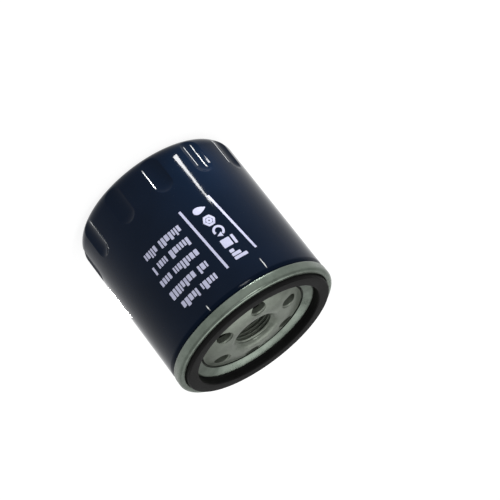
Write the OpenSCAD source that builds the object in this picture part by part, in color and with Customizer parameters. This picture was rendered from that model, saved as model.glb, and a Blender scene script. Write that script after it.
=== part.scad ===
// Spin-on engine oil filter, standing on its closed end with the threaded base up.
// Origin: centre of the closed end's resting face. +Z: along the filter's axis, towards the engine.
// All sizes are in millimetres.

/* [Can] */
// Outer diameter of the can
can_d = 76; // [74:0.5:78]
// Height from the resting face to the gasket's sealing face
overall_h = 80; // [80:1:120]
// Thickness of the can's drawn sheet
can_t = 0.5; // [0.45:0.05:0.55]
// Radius between the side wall and the closed end
corner_r = 7; // [5:0.5:7]
// Depth of the round recess pressed into the closed end
recess_depth = 1.2; // [0.8:0.1:1.4]

/* [Wrench flutes] */
// Number of flutes round the closed end
flute_n = 12; // [8:1:14]
// Depth of a flute below the side wall
flute_depth = 1.3; // [0.8:0.1:1.5]
// Radius of the rounded tool that presses a flute
flute_tool_r = 7.5; // [4:0.5:8]
// Height of the flutes' rounded tips above the resting face
flute_h = 20.5; // [16:0.5:28]
// Angle of the first flute round the axis
flute_turn = 0; // [-15:0.5:15]

/* [Base] */
// Thickness of the seaming lid's sheet
lid_t = 0.6; // [0.5:0.05:0.6]
// Radius of the lid's inner edge
lid_hole_r = 25.2; // [24.8:0.1:25.6]
// Thickness of the tapping plate
plate_t = 3; // [2.8:0.1:3.2]
// Minor diameter of the stud thread, 3/4-16 UNF
thread_minor_d = 17.4; // [17.2:0.05:17.7]
// Outer diameter of the threaded collar
collar_d = 22.8; // [22.4:0.1:23]
// Number of oil inlets
inlet_n = 6; // [4:1:8]
// Diameter of an oil inlet
inlet_d = 6.6; // [5:0.1:7]
// Diameter of the circle that the inlets lie on
inlet_pcd = 37; // [36:0.5:38]
// Angle of the first inlet round the axis
inlet_turn = 20; // [0:1:45]
// Inner diameter of the mounting gasket
gasket_id = 60.1; // [60.1:0.1:61]
// Outer diameter of the mounting gasket
gasket_od = 70.2; // [69:0.1:70.2]

/* [Filter element] */
// Number of pleats in the paper
pleat_n = 52; // [40:1:52]
// Thickness of the filter paper
paper_t = 0.6; // [0.5:0.05:0.65]
// Outer radius of the pleat pack
pack_r = 34; // [32:0.5:34.2]
// Outer diameter of the centre tube
tube_d = 32.8; // [32:0.2:32.8]
// Thickness of the end caps, centre tube and valve parts
cap_t = 0.6; // [0.5:0.05:0.6]
// Diameter of the centre tube's holes
tube_hole_d = 4.2; // [3:0.2:5]

/* [Valves and springs] */
// Outer radius of the anti-drain valve's sealing lip
flap_r = 27; // [26.5:0.1:27.4]
// Number of active coils in the bypass spring
spring_coils = 5; // [4:0.5:6]
// Wire diameter of the bypass spring
wire_d = 1; // [0.8:0.1:1]
// Number of arms on the support spring
arm_n = 4; // [3:1:6]

/* [Hidden] */
$fn = 96;

// Clearances
play = 0.05;                    // between parts that touch
contact_play = 0.02;            // where a spring or the potting bears on its neighbour
groove_play = 0.1;              // on each side of the gasket in its groove
guide_play = 0.2;               // round the bypass poppet
sleeve_play = 0.4;              // between the threaded collar and the base end cap

// Base heights, worked down from the sealing face
face_z = overall_h;
seam_z = face_z - 1.8;          // top of the double seam
land_z = face_z - 3.5;          // outer face of the lid's inner flange
groove_z = land_z - 2.5;        // floor of the gasket groove

// The lid's flange inside the groove slopes down to its inner edge
flange_tilt = 24;
flange_bend = 0.8;              // radius between the flange and the groove's wall
flange_r = gasket_id / 2 - groove_play - flange_bend * (1 + sin(flange_tilt));
flange_z = land_z - flange_bend * (1 - cos(flange_tilt));

// Height of the flange's top at a radius, and of the plate's rim under it
function flange_at(r) = flange_z - (flange_r - r) * tan(flange_tilt);
function rim_at(r) = flange_at(r) - lid_t / cos(flange_tilt) - play;

// Radii of the gasket groove, the seam and the can's neck
can_r = can_d / 2;
groove_in_r = gasket_id / 2 - groove_play;
seam_in_r = gasket_od / 2 + groove_play;
neck_in_r = seam_in_r + lid_t + play;               // inside of the can's wall within the seam
hook_in_r = neck_in_r + can_t + play;               // the lid's hook, between the can's two layers
can_hook_r = hook_in_r + lid_t + play + can_t;      // outside of the can's hook
seam_r = can_hook_r + play + lid_t;
fold_r = (can_hook_r - neck_in_r) / 2;              // outer radius of the can's fold
seam_low_z = seam_z - 4.2;                          // lowest point of the seam
lid_fold_r = (seam_r - hook_in_r) / 2;
can_fold_z = seam_z - lid_t - play - fold_r;        // centre of the can's fold
can_hook_z = seam_low_z + 1.2;                      // lower end of the can's hook
lid_hook_z = can_fold_z - 0.2;                      // upper end of the lid's hook

// The can's shoulder, where the wall draws in to the neck
shoulder_z = land_z - 5.5;
neck_z = land_z - 2.2;
cup_z = shoulder_z - 4;                             // top of the straight wall's own solid
recess_r = 21;
recess_slope = 2;                                   // width of the recess's sloping edge

// Threaded collar
collar_r = collar_d / 2;
thread_r = thread_minor_d / 2;
thread_top_z = land_z - 0.5;
thread_low_z = land_z - 10.5;
thread_chamfer = 0.8;
crown_r = 12.4;                                     // where the plate's dome turns down into the thread
crown_z = land_z + 1.1;
dome_foot_r = 24.2;                                 // where the plate's dome ends
dome_foot_z = flange_at(lid_hole_r) - 0.05;
dome_steps = 8;
dome_curve = 2.1;                                   // power of the dome's fall from its crown
rim_in_r = lid_hole_r - 0.1;
rim_step = 0.15;                                    // width of the step between the dome and the rim
neck_turn = 0.4;                                    // drop of the underside where the collar turns down
rim_out_r = groove_in_r - lid_t - 0.15;
rim_turn_r = flange_r - 0.1;
valve_seat_z = rim_at(rim_in_r) - plate_t;          // flat ring under the rim, where the drain valve seals
valve_seat_r = [24.6, 27.4];

// Filter element, stacked down from the base end cap
base_cap_z = land_z - 10;                           // outer face of the base end cap
dome_cap_z = 9.3;                                   // outer face of the dome end cap
cap_rim_r = pack_r + 1.3;
cap_rim_h = 3.6;
potting_t = 1.8;
paper_sunk = 1;                                     // how deep the paper stands in the potting
pack_low_z = dome_cap_z + cap_t + potting_t - paper_sunk;
pack_top_z = base_cap_z - cap_t - potting_t + paper_sunk;
tube_r = tube_d / 2;
tube_low_z = dome_cap_z + cap_t;
tube_top_z = base_cap_z - cap_t;
pleat_in_r = tube_r + 0.3;
pleat_half = 0.9;                                   // half the width of a folded pleat

// Bypass valve, built up from the dome end cap
seat_z = dome_cap_z + cap_t;
seat_hole_r = 7;
seat_lip_r = 7.8;
seat_lip_h = 0.4;
seat_neck_r = 11.9;
valve_r = tube_r - cap_t - 0.2;                     // outer radius of the seat and the cage's foot
seal_z = seat_z + cap_t + seat_lip_h + 0.03;        // underside of the seal, just off the lip
seal_t = 1;
poppet_z = seal_z + seal_t;
poppet_r = 9.6;
poppet_h = 3.6;
boss_r = 2.9;                                       // holds the seal on the poppet
boss_tip = 0.3;                                     // how far the boss stands below the seal
seal_edge = 0.2;                                    // step between the seal's edge and the poppet's
cage_r = poppet_r + guide_play;
cage_top_z = seat_z + 13.1;
leg_n = 3;
leg_angle = 36;
window_sill = 0.6;                                  // sheet left above and below a window
cage_hole_r = 2.5;
coil_r = 7.4;                                       // middle of the spring's wire
coil_low_z = poppet_z + cap_t;

// Anti-drain valve
hub_r = collar_r + 2.1;
hub_top_z = crown_z - plate_t - 0.6;
flap_in_r = hub_r + play;
flap_t = 1.1;
flap_root_z = valve_seat_z - 2.4;                   // underside of the flap beside the hub
bead_h = 1.5;
bead_w = 2.2;                                       // width of the sealing bead at the flap's edge
bead_bevel = 0.6;
bead_ease = 0.5;
bead_step = 0.4;                                    // height of the bead over the flap's top

// Support spring
leaf_t = 0.6;
arm_angle = 24;
arm_turn = 45;                                      // middle of the first arm
spring_ring_r = [14, 20];
arm_start_r = 21;                                   // where an arm starts to fall from the ring
arm_foot_r = 29.5;
arm_foot_w = 3;                                     // length of the flat foot
arm_overlap = 0.5;                                  // how far an arm's root runs into the ring

// ---- helpers ----

// Points of an arc about c, from angle a0 to a1
function arc(c, r, a0, a1, n = 6) =
    [for (i = [0 : n]) c + r * [cos(a0 + (a1 - a0) * i / n), sin(a0 + (a1 - a0) * i / n)]];

function unit(v) = v / norm(v);

// The direction to the right of the path's i-th stretch
function right_of(path, i) = let (d = unit(path[i + 1] - path[i])) [d[1], -d[0]];

// The path's i-th point moved t to its right, mitred at a corner
function beside(path, i, t) =
    let (m = right_of(path, max(i - 1, 0)) + right_of(path, min(i, len(path) - 2)))
    path[i] + m * (2 * t / (m * m));

// Outline of a sheet of thickness t that lies to the right of a path
module sheet(path, t)
    polygon(concat(path, [for (i = [len(path) - 1 : -1 : 0]) beside(path, i, t)]));

// A flat ring between two radii and two heights
module ring(r_in, r_out, z_low, z_high)
    rotate_extrude() translate([r_in, z_low]) square([r_out - r_in, z_high - z_low]);

// Repeats its child n times round the axis
module around(n, turn = 0)
    for (i = [0 : n - 1]) rotate([0, 0, turn + 360 * i / n]) children();

// ---- housing ----

// Filled profile of the can up to its shoulder, drawn in by inset on every side
module cup_profile(inset) {
    r = can_r - inset;
    round_r = corner_r - inset;
    translate([0, inset]) square([can_r - corner_r, cup_z - inset]);
    translate([0, corner_r]) square([r, cup_z - corner_r]);
    translate([can_r - corner_r, corner_r]) circle(round_r);
}

// Recess in the middle of the closed end, seen from outside (inset 0) or inside the sheet
module end_recess(inset)
    translate([0, 0, inset - 1])
        cylinder(
            r1 = recess_r + inset + recess_slope / recess_depth,
            r2 = recess_r + inset - recess_slope,
            h = recess_depth + 1);

// Round-nosed tool that presses one flute
module flute_tool(inset) {
    r = flute_tool_r + inset;
    bottom = flute_tool_r - flute_depth;
    tip_z = flute_h - sqrt(flute_tool_r * flute_tool_r - bottom * bottom);
    translate([can_r - flute_depth + flute_tool_r, 0, -1])
        rotate_extrude() {
            square([r, tip_z + 1]);
            intersection() {
                translate([0, tip_z + 1]) circle(r);
                translate([0, tip_z]) square([r, 2 * r]);
            }
        }
}

module pressed_shapes(inset) {
    around(flute_n, flute_turn) flute_tool(inset);
    end_recess(inset);
}

module can() color([0.07, 0.09, 0.15]) {
    neck_steps = 10;
    wall_in_r = can_r - can_t;
    shoulder = [for (i = [0 : neck_steps])
        [neck_in_r + (wall_in_r - neck_in_r) * (1 + cos(180 * i / neck_steps)) / 2,
         shoulder_z + (neck_z - shoulder_z) * i / neck_steps]];
    fold = arc([neck_in_r + fold_r, can_fold_z], fold_r, 180, 0, 12);
    difference() {
        difference() {
            rotate_extrude() cup_profile(0);
            pressed_shapes(0);
        }
        difference() {
            rotate_extrude() cup_profile(can_t);
            pressed_shapes(can_t);
        }
        translate([0, 0, cup_z - 0.01]) cylinder(r = wall_in_r, h = 1);
    }
    rotate_extrude()
        sheet(concat([[wall_in_r, cup_z]], shoulder, fold, [[can_hook_r, can_hook_z]]), can_t);
}

// The lid's sheet: flange on the plate, gasket groove, double seam
module seam_lid() color([0.55, 0.58, 0.52]) {
    bend = flange_bend;
    outer_bend = 1.5;
    inner_bend = 0.5;
    path = concat(
        [[lid_hole_r, flange_at(lid_hole_r)]],
        arc([groove_in_r - bend, land_z - bend], bend, 90 + flange_tilt, 0),
        arc([groove_in_r + inner_bend, groove_z + inner_bend], inner_bend, 180, 270, 4),
        arc([seam_in_r - inner_bend, groove_z + inner_bend], inner_bend, 270, 360, 4),
        arc([seam_in_r + bend, seam_z - bend], bend, 180, 90),
        arc([seam_r - outer_bend, seam_z - outer_bend], outer_bend, 90, 0, 8),
        arc([seam_r - lid_fold_r, seam_low_z + lid_fold_r], lid_fold_r, 0, -180, 12),
        [[hook_in_r, lid_hook_z]]);
    rotate_extrude() sheet(path, lid_t);
}

// Compound that fills the two ends of the double seam
module seam_sealant() color([0.75, 0.72, 0.6]) {
    gap = 0.03;
    ring(hook_in_r + gap, hook_in_r + lid_t - gap, lid_hook_z + gap, can_fold_z);
    ring(can_hook_r - can_t + gap, can_hook_r - gap, seam_low_z + lid_fold_r, can_hook_z - gap);
}

// Domed steel plate with the stud thread in an inward collar and the oil inlets
module tapping_plate() color([0.42, 0.42, 0.39]) {
    mouth_r = thread_r + thread_chamfer;
    fall = crown_z - thread_top_z;                  // how far the mouth lies below the crown
    across = crown_r - mouth_r;
    turn_r = (across * across + fall * fall) / (2 * fall);
    crown = arc([crown_r, crown_z - turn_r], turn_r, 180 - acos(across / turn_r), 90);
    dome = [for (i = [1 : dome_steps])
        [crown_r + (dome_foot_r - crown_r) * i / dome_steps,
         crown_z - (crown_z - dome_foot_z) * pow(i / dome_steps, dome_curve)]];
    rim = [
        [rim_in_r - rim_step, dome_foot_z], [rim_in_r, rim_at(rim_in_r)],
        [rim_turn_r, rim_at(rim_turn_r)], [rim_out_r, rim_at(rim_turn_r)],
        [rim_out_r, rim_at(rim_turn_r) - plate_t],
        [valve_seat_r[1], valve_seat_z], [valve_seat_r[0], valve_seat_z]
    ];
    under = [for (i = [dome_steps - 2 : -1 : 0]) dome[i] - [0, plate_t]];
    difference() {
        rotate_extrude() polygon(concat(
            [[thread_r, thread_low_z + thread_chamfer], [thread_r, thread_top_z - thread_chamfer]],
            crown, dome, rim, under,
            [[crown_r, crown_z - plate_t], [collar_r, crown_z - plate_t - neck_turn]],
            [[collar_r, thread_low_z], [mouth_r, thread_low_z]]));
        around(inlet_n, inlet_turn) translate([inlet_pcd / 2, 0, valve_seat_z - 1])
            cylinder(d = inlet_d, h = crown_z - valve_seat_z + 2);
    }
}

// Square-cut rubber ring with eased edges
module mounting_gasket() color([0.06, 0.06, 0.06]) {
    ease = 0.5;
    r_in = gasket_id / 2;
    r_out = gasket_od / 2;
    low = groove_z + play;
    rotate_extrude() polygon([
        [r_in + ease, low], [r_out - ease, low], [r_out, low + ease],
        [r_out, face_z - ease], [r_out - ease, face_z],
        [r_in + ease, face_z], [r_in, face_z - ease], [r_in, low + ease]
    ]);
}

// ---- anti-drain valve ----

// Clamped sleeve round the threaded collar
module drain_valve_hub() color([0.1, 0.1, 0.1])
    ring(collar_r + play, hub_r, base_cap_z + play, hub_top_z);

// Flexing skirt that closes the inlets from inside
module drain_valve_flap() color([0.12, 0.12, 0.12]) {
    seal_z = valve_seat_z - play;
    rotate_extrude() polygon([
        [flap_in_r, flap_root_z],
        [flap_r - bead_w, seal_z - bead_h], [flap_r - bead_bevel, seal_z - bead_h],
        [flap_r, seal_z - bead_h + bead_bevel], [flap_r, seal_z - bead_ease],
        [flap_r - bead_ease, seal_z], [flap_r - bead_w + bead_ease, seal_z],
        [flap_r - bead_w, seal_z - bead_step], [flap_in_r, flap_root_z + flap_t]
    ]);
}

// ---- filter element ----

// Pressed cap with a rim round the paper and a hole in the middle
module end_cap(hole_r, z, up) {
    ring(hole_r, cap_rim_r, z, z + cap_t);
    ring(cap_rim_r - cap_t, cap_rim_r, up ? z : z + cap_t - cap_rim_h, up ? z + cap_rim_h : z + cap_t);
}

module base_end_cap() color([0.6, 0.6, 0.58]) end_cap(collar_r + sleeve_play, base_cap_z - cap_t, false);

module dome_end_cap() color([0.6, 0.6, 0.58]) end_cap(seat_neck_r + 0.1, dome_cap_z, true);

// Outline of the folded paper: a closed band that zigzags between two radii
module paper_band() {
    function at(r, half, a) = [r * cos(a) - half * sin(a), r * sin(a) + half * cos(a)];
    step = 360 / pleat_n;
    slot = pleat_half - paper_t;
    outer = [for (i = [0 : pleat_n - 1], k = [0 : 3])
        k == 0 ? at(pack_r, -pleat_half, i * step)
        : k == 1 ? at(pack_r, pleat_half, i * step)
        : k == 2 ? at(pleat_in_r + paper_t, -slot, (i + 0.5) * step)
        : at(pleat_in_r + paper_t, slot, (i + 0.5) * step)];
    inner = [for (i = [0 : pleat_n - 1], k = [0 : 3])
        k == 0 ? at(pack_r - paper_t, -slot, i * step)
        : k == 1 ? at(pack_r - paper_t, slot, i * step)
        : k == 2 ? at(pleat_in_r, -pleat_half, (i + 0.5) * step)
        : at(pleat_in_r, pleat_half, (i + 0.5) * step)];
    difference() {
        polygon(outer);
        polygon(inner);
    }
}

module filter_media() color([0.85, 0.74, 0.5])
    translate([0, 0, pack_low_z]) linear_extrude(pack_top_z - pack_low_z) paper_band();

// Steel strip folded over the pleat where the paper's two ends meet
module media_clip() color([0.65, 0.65, 0.63]) {
    clip_t = 0.35;
    reach = 6;
    half = pleat_half + play;
    low = pack_low_z + paper_sunk + play;
    translate([pack_r - reach, 0, low]) linear_extrude(pack_top_z - paper_sunk - play - low)
        difference() {
            translate([0, -half - clip_t]) square([reach + play + clip_t, 2 * (half + clip_t)]);
            translate([-1, -half]) square([reach + play + 1, 2 * half]);
        }
}

// Moulded bead that bonds the paper into a cap
module potting(z) {
    difference() {
        ring(tube_r + play, cap_rim_r - cap_t - play, z, z + potting_t);
        translate([0, 0, pack_low_z]) linear_extrude(pack_top_z - pack_low_z)
            offset(delta = contact_play) paper_band();
    }
}

module base_potting() color([0.55, 0.2, 0.15]) potting(base_cap_z - cap_t - potting_t);

module dome_potting() color([0.55, 0.2, 0.15]) potting(dome_cap_z + cap_t);

// Perforated steel tube that carries the paper
module centre_tube() color([0.62, 0.62, 0.6]) {
    columns = 8;
    rows = 8;
    first_z = tube_low_z + 8;
    last_z = tube_top_z - 6;
    row_step = (last_z - first_z) / (rows - 1);
    difference() {
        ring(tube_r - cap_t, tube_r, tube_low_z, tube_top_z);
        for (j = [0 : rows - 1], i = [0 : columns / 2 - 1])
            rotate([0, 0, (i + (j % 2) / 2) * 360 / columns])
                translate([0, 0, first_z + j * row_step])
                    rotate([0, 90, 0]) cylinder(d = tube_hole_d, h = 2 * tube_r + 2, center = true);
    }
}

// ---- bypass valve ----

// Seat plate with a raised lip, centred in the dome end cap
module bypass_seat() color([0.58, 0.58, 0.56]) {
    ring(seat_hole_r, valve_r, seat_z, seat_z + cap_t);
    ring(seat_hole_r, seat_lip_r, seat_z + cap_t, seat_z + cap_t + seat_lip_h);
    ring(seat_neck_r - cap_t, seat_neck_r, dome_cap_z, seat_z);
}

// Pressed cup with windows between its legs, which guides the poppet and holds the spring
module bypass_cage() color([0.6, 0.6, 0.58]) {
    foot_z = seat_z + cap_t;
    window_angle = 360 / leg_n - leg_angle;
    window_low = foot_z + cap_t + window_sill;
    window_high = cage_top_z - window_sill;
    difference() {
        rotate_extrude() polygon([
            [cage_r, foot_z], [valve_r, foot_z], [valve_r, foot_z + cap_t],
            [cage_r + cap_t, foot_z + cap_t], [cage_r + cap_t, cage_top_z + cap_t],
            [cage_hole_r, cage_top_z + cap_t], [cage_hole_r, cage_top_z], [cage_r, cage_top_z]
        ]);
        around(leg_n, leg_angle / 2) translate([0, 0, window_low])
            linear_extrude(window_high - window_low) polygon([
                [0, 0], [2 * cage_r, 0], 2 * cage_r * [cos(window_angle), sin(window_angle)]
            ]);
    }
}

// Cup-shaped valve disc
module bypass_poppet() color([0.66, 0.66, 0.64]) {
    translate([0, 0, poppet_z]) cylinder(r = poppet_r, h = cap_t);
    ring(poppet_r - cap_t, poppet_r, poppet_z, poppet_z + poppet_h);
    translate([0, 0, seal_z - boss_tip]) cylinder(r = boss_r, h = seal_t + boss_tip + cap_t);
}

// Rubber washer that seals the poppet on the seat's lip
module bypass_seal() color([0.1, 0.1, 0.1]) 
    ring(boss_r + play, poppet_r - seal_edge, seal_z, poppet_z - 0.01);

// Height of a coil spring's wire after t turns: a closed turn at each end, an even pitch between
function coil_rise(t, turns, end_turn, low, high, close) =
    t < end_turn ? low + t * close
    : t > turns - end_turn ? high - (turns - t) * close
    : low + end_turn * close + (t - end_turn) * (high - low - 2 * end_turn * close) / (turns - 2 * end_turn);

// Round wire swept along a helix
module coil_spring(r, wire, coils, low, high) {
    sides = 8;
    per_turn = 24;
    end_turn = 0.75;
    turns = coils + 2 * end_turn;
    count = round(turns * per_turn);
    close = wire * 1.03;
    points = [for (i = [0 : count], k = [0 : sides - 1])
        let (t = i / per_turn, a = 360 * t, s = 360 * k / sides, across = r + wire / 2 * cos(s))
        [across * cos(a), across * sin(a),
         coil_rise(t, turns, end_turn, low, high, close) + wire / 2 * sin(s)]];
    skin = [for (i = [0 : count - 1], k = [0 : sides - 1])
        let (p = i * sides + k, q = i * sides + (k + 1) % sides)
        [p, p + sides, q + sides, q]];
    start = [[for (k = [0 : sides - 1]) k]];
    finish = [[for (k = [sides - 1 : -1 : 0]) count * sides + k]];
    polyhedron(points = points, faces = concat(skin, start, finish), convexity = 10);
}

module bypass_spring() color([0.72, 0.72, 0.7])
    coil_spring(coil_r, wire_d, spring_coils,
        coil_low_z + wire_d / 2 + contact_play, cage_top_z - wire_d / 2 - contact_play);

// ---- support spring ----

// Pressed leaf spring between the closed end and the element
module support_spring() color([0.5, 0.5, 0.52]) {
    foot_z = can_t + leaf_t + contact_play;
    top_z = dome_cap_z - contact_play;
    foot_in_r = arm_foot_r - arm_foot_w;
    steps = 8;
    drop = [for (i = [0 : steps])
        [arm_start_r + (foot_in_r - arm_start_r) * i / steps,
         foot_z + (top_z - foot_z) * (1 + cos(180 * i / steps)) / 2]];
    ring(spring_ring_r[0], spring_ring_r[1], top_z - leaf_t, top_z);
    around(arm_n, arm_turn - arm_angle / 2) rotate_extrude(angle = arm_angle)
        sheet(concat([[spring_ring_r[1] - arm_overlap, top_z]], drop, [[arm_foot_r, foot_z]]), leaf_t);
}

can();
seam_lid();
seam_sealant();
tapping_plate();
mounting_gasket();
drain_valve_hub();
drain_valve_flap();
base_end_cap();
dome_end_cap();
base_potting();
dome_potting();
filter_media();
media_clip();
centre_tube();
bypass_seat();
bypass_cage();
bypass_poppet();
bypass_seal();
bypass_spring();
support_spring();
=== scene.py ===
import math
import random

import bmesh
import bpy
from mathutils import Matrix, Vector


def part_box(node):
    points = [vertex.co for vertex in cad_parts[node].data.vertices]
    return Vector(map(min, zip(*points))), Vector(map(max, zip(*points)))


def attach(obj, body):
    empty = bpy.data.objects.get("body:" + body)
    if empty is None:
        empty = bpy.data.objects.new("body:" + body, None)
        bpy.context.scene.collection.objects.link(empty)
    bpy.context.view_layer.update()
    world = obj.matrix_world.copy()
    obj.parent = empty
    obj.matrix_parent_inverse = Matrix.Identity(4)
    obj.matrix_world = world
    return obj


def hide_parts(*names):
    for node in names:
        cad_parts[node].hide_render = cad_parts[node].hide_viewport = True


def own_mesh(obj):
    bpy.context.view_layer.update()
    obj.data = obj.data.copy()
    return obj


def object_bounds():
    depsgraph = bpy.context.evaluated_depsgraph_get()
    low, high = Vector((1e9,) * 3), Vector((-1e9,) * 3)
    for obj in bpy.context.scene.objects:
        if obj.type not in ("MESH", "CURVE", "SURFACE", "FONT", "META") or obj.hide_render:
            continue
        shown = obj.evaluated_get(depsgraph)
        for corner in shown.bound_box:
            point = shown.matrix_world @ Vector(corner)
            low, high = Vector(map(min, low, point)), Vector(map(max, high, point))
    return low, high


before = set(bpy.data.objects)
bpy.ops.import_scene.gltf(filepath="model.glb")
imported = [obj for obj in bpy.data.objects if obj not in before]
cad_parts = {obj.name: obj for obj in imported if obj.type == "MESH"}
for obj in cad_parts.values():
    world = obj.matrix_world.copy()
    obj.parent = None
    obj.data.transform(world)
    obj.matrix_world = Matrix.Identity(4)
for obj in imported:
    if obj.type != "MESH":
        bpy.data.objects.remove(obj)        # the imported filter, fixed: +Z is the axis, the closed end stands on z = 0
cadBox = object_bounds()

scene = bpy.context.scene
random.seed(34)
mm = 0.001


class Value:    # one output of a material's nodes; sums and products of it add Math nodes
    def __init__(self, finish, socket):
        self.finish, self.socket = finish, socket

    def math(self, operation, *values):
        return self.finish.node("ShaderNodeMath", {"operation": operation}, dict(enumerate(values)))

    def __add__(self, other):
        return self.math("ADD", self, other)

    def __radd__(self, other):
        return self.math("ADD", other, self)

    def __sub__(self, other):
        return self.math("SUBTRACT", self, other)

    def __rsub__(self, other):
        return self.math("SUBTRACT", other, self)

    def __mul__(self, other):
        return self.math("MULTIPLY", self, other)

    def __rmul__(self, other):
        return self.math("MULTIPLY", other, self)

    def __truediv__(self, other):
        return self.math("DIVIDE", self, other)

    def __rtruediv__(self, other):
        return self.math("DIVIDE", other, self)

    def __abs__(self):
        return self.math("ABSOLUTE", self)


class Nodes:    # one node tree; every node in it comes from the same method
    def __init__(self, tree):
        self.tree = tree

    def node(self, kind, settings=None, inputs=None, output=0):
        made = self.tree.nodes.new(kind)
        for name, value in (settings or {}).items():
            if name == "stops":
                self.setStops(made.color_ramp, value)
            else:
                setattr(made, name, value)
        for name, value in (inputs or {}).items():
            if isinstance(value, Value):
                self.tree.links.new(value.socket, made.inputs[name])
            else:
                made.inputs[name].default_value = value
        return Value(self, made.outputs[output])

    def setStops(self, ramp, stops):
        while len(ramp.elements) < len(stops):
            ramp.elements.new(0.5)
        for element, (position, level) in zip(ramp.elements, stops):
            element.position = position
            element.color = (level, level, level, 1)


class Finish(Nodes):    # one material with a Principled shader
    def __init__(self, name, constants):
        self.material = bpy.data.materials.new(name)
        self.material.use_nodes = True
        super().__init__(self.material.node_tree)
        self.shader = self.tree.nodes["Principled BSDF"]
        for socket, value in constants.items():
            self.shader.inputs[socket].default_value = value

    def paint(self, socket, value):
        self.tree.links.new(value.socket, self.shader.inputs[socket])

    def place(self):    # where the point is on the filter, in metres
        return self.node("ShaderNodeTexCoord", output="Object")

    def stretch(self, scale):
        return self.node("ShaderNodeMapping", {}, {"Vector": self.place(), "Scale": scale})

    def noise(self, scale, detail=3, where=None, roughness=0.55):
        return self.node("ShaderNodeTexNoise", {}, {
            "Vector": where or self.place(), "Scale": scale, "Detail": detail, "Roughness": roughness})

    def ramp(self, value, stops):
        return self.node("ShaderNodeValToRGB", {"stops": stops}, {"Fac": value})

    def blend(self, factor, first, second):
        return self.node("ShaderNodeMix", {"data_type": "RGBA"}, {0: factor, 6: first, 7: second}, output=2)

    def bump(self, height, distance, strength=1.0):
        self.paint("Normal", self.node("ShaderNodeBump", {}, {
            "Strength": strength, "Distance": distance, "Height": height}))

    def radius(self):       # distance from the filter's axis
        flat = self.node("ShaderNodeVectorMath", {"operation": "MULTIPLY"}, {0: self.place(), 1: (1, 1, 0)})
        return self.node("ShaderNodeVectorMath", {"operation": "LENGTH"}, {0: flat}, output=1)

    def height(self):
        return self.node("ShaderNodeSeparateXYZ", {}, {0: self.place()}, output=2)

    def angle(self):        # round the filter's axis, in radians
        x, y = (self.node("ShaderNodeSeparateXYZ", {}, {0: self.place()}, output=i) for i in range(2))
        return x.math("ARCTAN2", y, x)

    def clamped(self, value):
        return self.node("ShaderNodeClamp", {}, {"Value": value})


def grey(level, alpha=1):
    return (level, level, level, alpha)


def towards(azimuth, elevation):    # unit vector; azimuth 0 is on the -Y side, both in degrees
    a, e = math.radians(azimuth), math.radians(elevation)
    return Vector((math.sin(a) * math.cos(e), -math.cos(a) * math.cos(e), math.sin(e)))


# Camera, at the chosen three-quarter view of the base
cameraView = {
    "azimuth": 11.34, "elevation": 22.28, "roll": 141.91,
    "distance": 0.85807, "aim": (-0.01865, -0.00105, 0.04637), "lens": 148.40, "sensor": 36,
}


def makeCamera(view):
    back, roll = towards(view["azimuth"], view["elevation"]), math.radians(view["roll"])
    right = Vector((0, 0, 1)).cross(back).normalized()
    up = back.cross(right)
    turned = (
        right * math.cos(roll) + up * math.sin(roll),
        up * math.cos(roll) - right * math.sin(roll),
        back,
    )
    camera = bpy.data.objects.new("camera", bpy.data.cameras.new("camera"))
    camera.data.lens = view["lens"]
    camera.data.sensor_width = view["sensor"]
    camera.data.clip_start, camera.data.clip_end = 0.01, 20
    stand = Vector(view["aim"]) + back * view["distance"]
    camera.matrix_world = Matrix.Translation(stand) @ Matrix(turned).transposed().to_4x4()
    scene.collection.objects.link(camera)
    scene.camera = camera


# Studio: a softly glowing pale table, fading surroundings, two soft lamps and two low strips
studio = {
    "floorSize": 6.0, "floorColour": grey(0.25), "floorGlow": 0.88,
    "horizon": 1.0, "zenith": 0.48,     # brightness, and the sines of the elevations between which it fades
    "horizonHeight": 0.09, "zenithHeight": 0.34,
    "lamps": {      # azimuth, elevation, distance, size, watts
        "overheadSoftbox": (190, 68, 0.9, 0.8, 2.0),
        "frontSoftbox": (-18, 44, 0.7, 0.15, 0.9),
    },
    "strips": {     # start and end on the table, width and watts
        "frontStrip": ((-0.0215, -0.0466), (-0.0649, -0.0894), 0.0035, 0.08),
        "backStrip": ((0.0300, 0.0500), (0.0500, 0.0950), 0.0035, 0.06),
    },
    "stripHeight": 0.001,
}


def addLamp(name, shape, size, watts, location, turn):
    light = bpy.data.lights.new(name, "AREA")
    light.shape, light.size, light.size_y, light.energy = shape, size[0], size[1], watts
    lamp = bpy.data.objects.new(name, light)
    lamp.location, lamp.rotation_euler = location, turn
    lamp.visible_camera = False
    scene.collection.objects.link(lamp)


def makeSurroundings(made):     # white at the horizon, like the table, and softer overhead
    world = bpy.data.worlds.new("surroundings")
    world.use_nodes = True
    sky = Nodes(world.node_tree)
    height = sky.node("ShaderNodeSeparateXYZ", {}, {0: sky.node("ShaderNodeTexCoord")}, output=2)
    fade = sky.node("ShaderNodeMapRange", {"interpolation_type": "SMOOTHSTEP"}, {
        0: height, 1: made["horizonHeight"], 2: made["zenithHeight"],
        3: made["horizon"], 4: made["zenith"]})
    sky.tree.links.new(fade.socket, sky.tree.nodes["Background"].inputs["Color"])
    scene.world = world


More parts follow.
